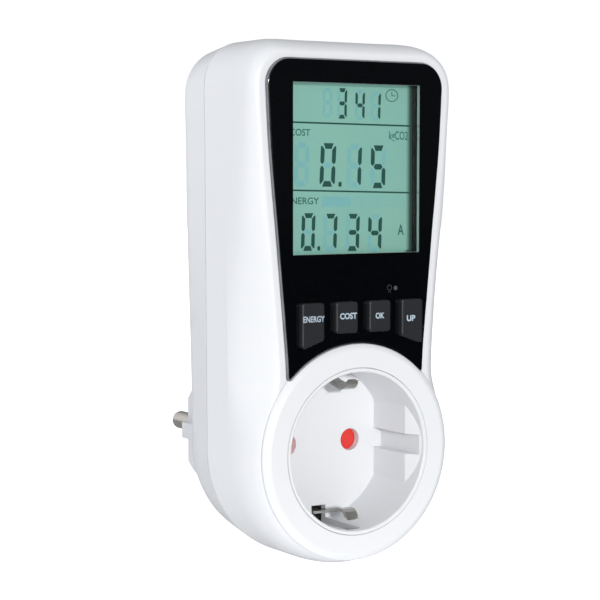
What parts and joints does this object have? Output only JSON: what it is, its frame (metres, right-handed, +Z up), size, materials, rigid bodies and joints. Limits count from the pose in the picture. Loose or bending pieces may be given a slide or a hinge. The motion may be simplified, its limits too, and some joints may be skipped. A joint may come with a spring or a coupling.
{
  "type": "plug-in power meter",
  "caption": "Plug-through power meter: white case with a round earthed outlet below, a black panel with a display and push keys above, and a two-pin plug boss behind.",
  "frame": {"origin": "on the plug's end face, midway between the two plug pins", "axes": "+Y is the way the plug goes into the wall, +Z up towards the display, +X to the right of someone looking at the display"},
  "size_m": [0.0592, 0.0765, 0.1296],
  "materials": {
    "white_abs": "white glossy moulded plastic with soft reflections",
    "black_panel": "piano black high gloss",
    "clear_window": "clear acrylic, polished",
    "lcd_cell": "grey green liquid crystal cell",
    "light_guide": "milky light guide",
    "carbon_rubber": "striped conductive rubber",
    "circuit_board": "green solder mask",
    "key_grey": "dark grey plastic, fine satin texture",
    "switch_black": "black plastic",
    "chip_black": "black moulded epoxy",
    "cell_steel": "nickel plated steel",
    "clear_plastic": "clear moulded plastic",
    "shutter_red": "red moulded plastic",
    "spring_steel": "spring steel wire",
    "carrier_grey": "light grey heat resistant plastic",
    "screw_steel": "zinc plated steel",
    "contact_brass": "brass strip",
    "earth_nickel": "nickel plated strip, slightly worn",
    "pin_nickel": "nickel plated brass, fine turning marks",
    "capacitor_yellow": "yellow film capacitor box",
    "capacitor_sleeve": "dark blue shrink sleeve",
    "varistor_blue": "blue epoxy coating",
    "shunt_alloy": "copper nickel manganese strip",
    "cable_grey": "grey ribbon insulation",
    "wire_brown": "brown insulation",
    "wire_blue": "blue insulation"
  },
  "bodies": {
    "housing": {"front_shell": "white_abs", "rear_shell": "white_abs", "fascia_panel": "black_panel", "display_window": "clear_window", "led_light_pipe": "clear_plastic", "lcd_glass": "lcd_cell", "lcd_backlight": "light_guide", "zebra_strip": "carbon_rubber", "display_board": "circuit_board", "tact_switches": "cell_steel", "controller_chip": "chip_black", "battery_holder": "switch_black", "coin_cell": "cell_steel", "indicator_led": "clear_plastic", "socket_cup": "white_abs", "shutter_spring": "spring_steel", "contact_carrier": "carrier_grey", "contact_screws": "screw_steel", "board_screws": "screw_steel", "case_screws": "screw_steel", "live_contact": "contact_brass", "neutral_contact": "contact_brass", "earth_bracket": "earth_nickel", "earth_link": "contact_brass", "plug_earth_strap": "earth_nickel", "plug_pin_left": "pin_nickel", "plug_pin_right": "pin_nickel", "pin_carrier": "carrier_grey", "power_board": "circuit_board", "x2_capacitor": "capacitor_yellow", "electrolytic_capacitor": "capacitor_sleeve", "varistor": "varistor_blue", "shunt_resistor": "shunt_alloy", "board_cable": "cable_grey", "live_wire": "wire_brown", "neutral_wire": "wire_blue"},
    "key_energy_body": {"key_energy": "key_grey", "switch_plunger_energy": "switch_black"},
    "key_cost_body": {"key_cost": "key_grey", "switch_plunger_cost": "switch_black"},
    "key_ok_body": {"key_ok": "key_grey", "switch_plunger_ok": "switch_black"},
    "key_up_body": {"key_up": "key_grey", "switch_plunger_up": "switch_black"},
    "shutter_body": {"child_shutter": "shutter_red"},
    "upper_clip_body": {"earth_clip_upper": "earth_nickel"},
    "lower_clip_body": {"earth_clip_lower": "earth_nickel"}
  },
  "joints": [
    {"name": "key_energy_press", "type": "slide", "parent": "housing", "child": "key_energy_body", "axis": [0, 1, 0], "range_m": [0, 0.0005], "stiffness_N_per_m": 120, "springref_m": -0.001},
    {"name": "key_cost_press", "type": "slide", "parent": "housing", "child": "key_cost_body", "axis": [0, 1, 0], "range_m": [0, 0.0005], "stiffness_N_per_m": 120, "springref_m": -0.001},
    {"name": "key_ok_press", "type": "slide", "parent": "housing", "child": "key_ok_body", "axis": [0, 1, 0], "range_m": [0, 0.0005], "stiffness_N_per_m": 120, "springref_m": -0.001},
    {"name": "key_up_press", "type": "slide", "parent": "housing", "child": "key_up_body", "axis": [0, 1, 0], "range_m": [0, 0.0005], "stiffness_N_per_m": 120, "springref_m": -0.001},
    {"name": "shutter_turn", "type": "hinge", "parent": "housing", "child": "shutter_body", "pos_m": [0, -0.0355, 0], "axis": [0, 1, 0], "range_deg": [0, 42], "stiffness_Nm_per_rad": 0.0004, "springref_deg": -34.38},
    {"name": "upper_clip_flex", "type": "hinge", "parent": "housing", "child": "upper_clip_body", "pos_m": [0, -0.0358, 0.018], "axis": [-1, 0, 0], "range_deg": [0, 3.5], "stiffness_Nm_per_rad": 0.004, "springref_deg": -1.15},
    {"name": "lower_clip_flex", "type": "hinge", "parent": "housing", "child": "lower_clip_body", "pos_m": [0, -0.0358, -0.018], "axis": [1, 0, 0], "range_deg": [0, 3.5], "stiffness_Nm_per_rad": 0.004, "springref_deg": -1.15}
  ]
}
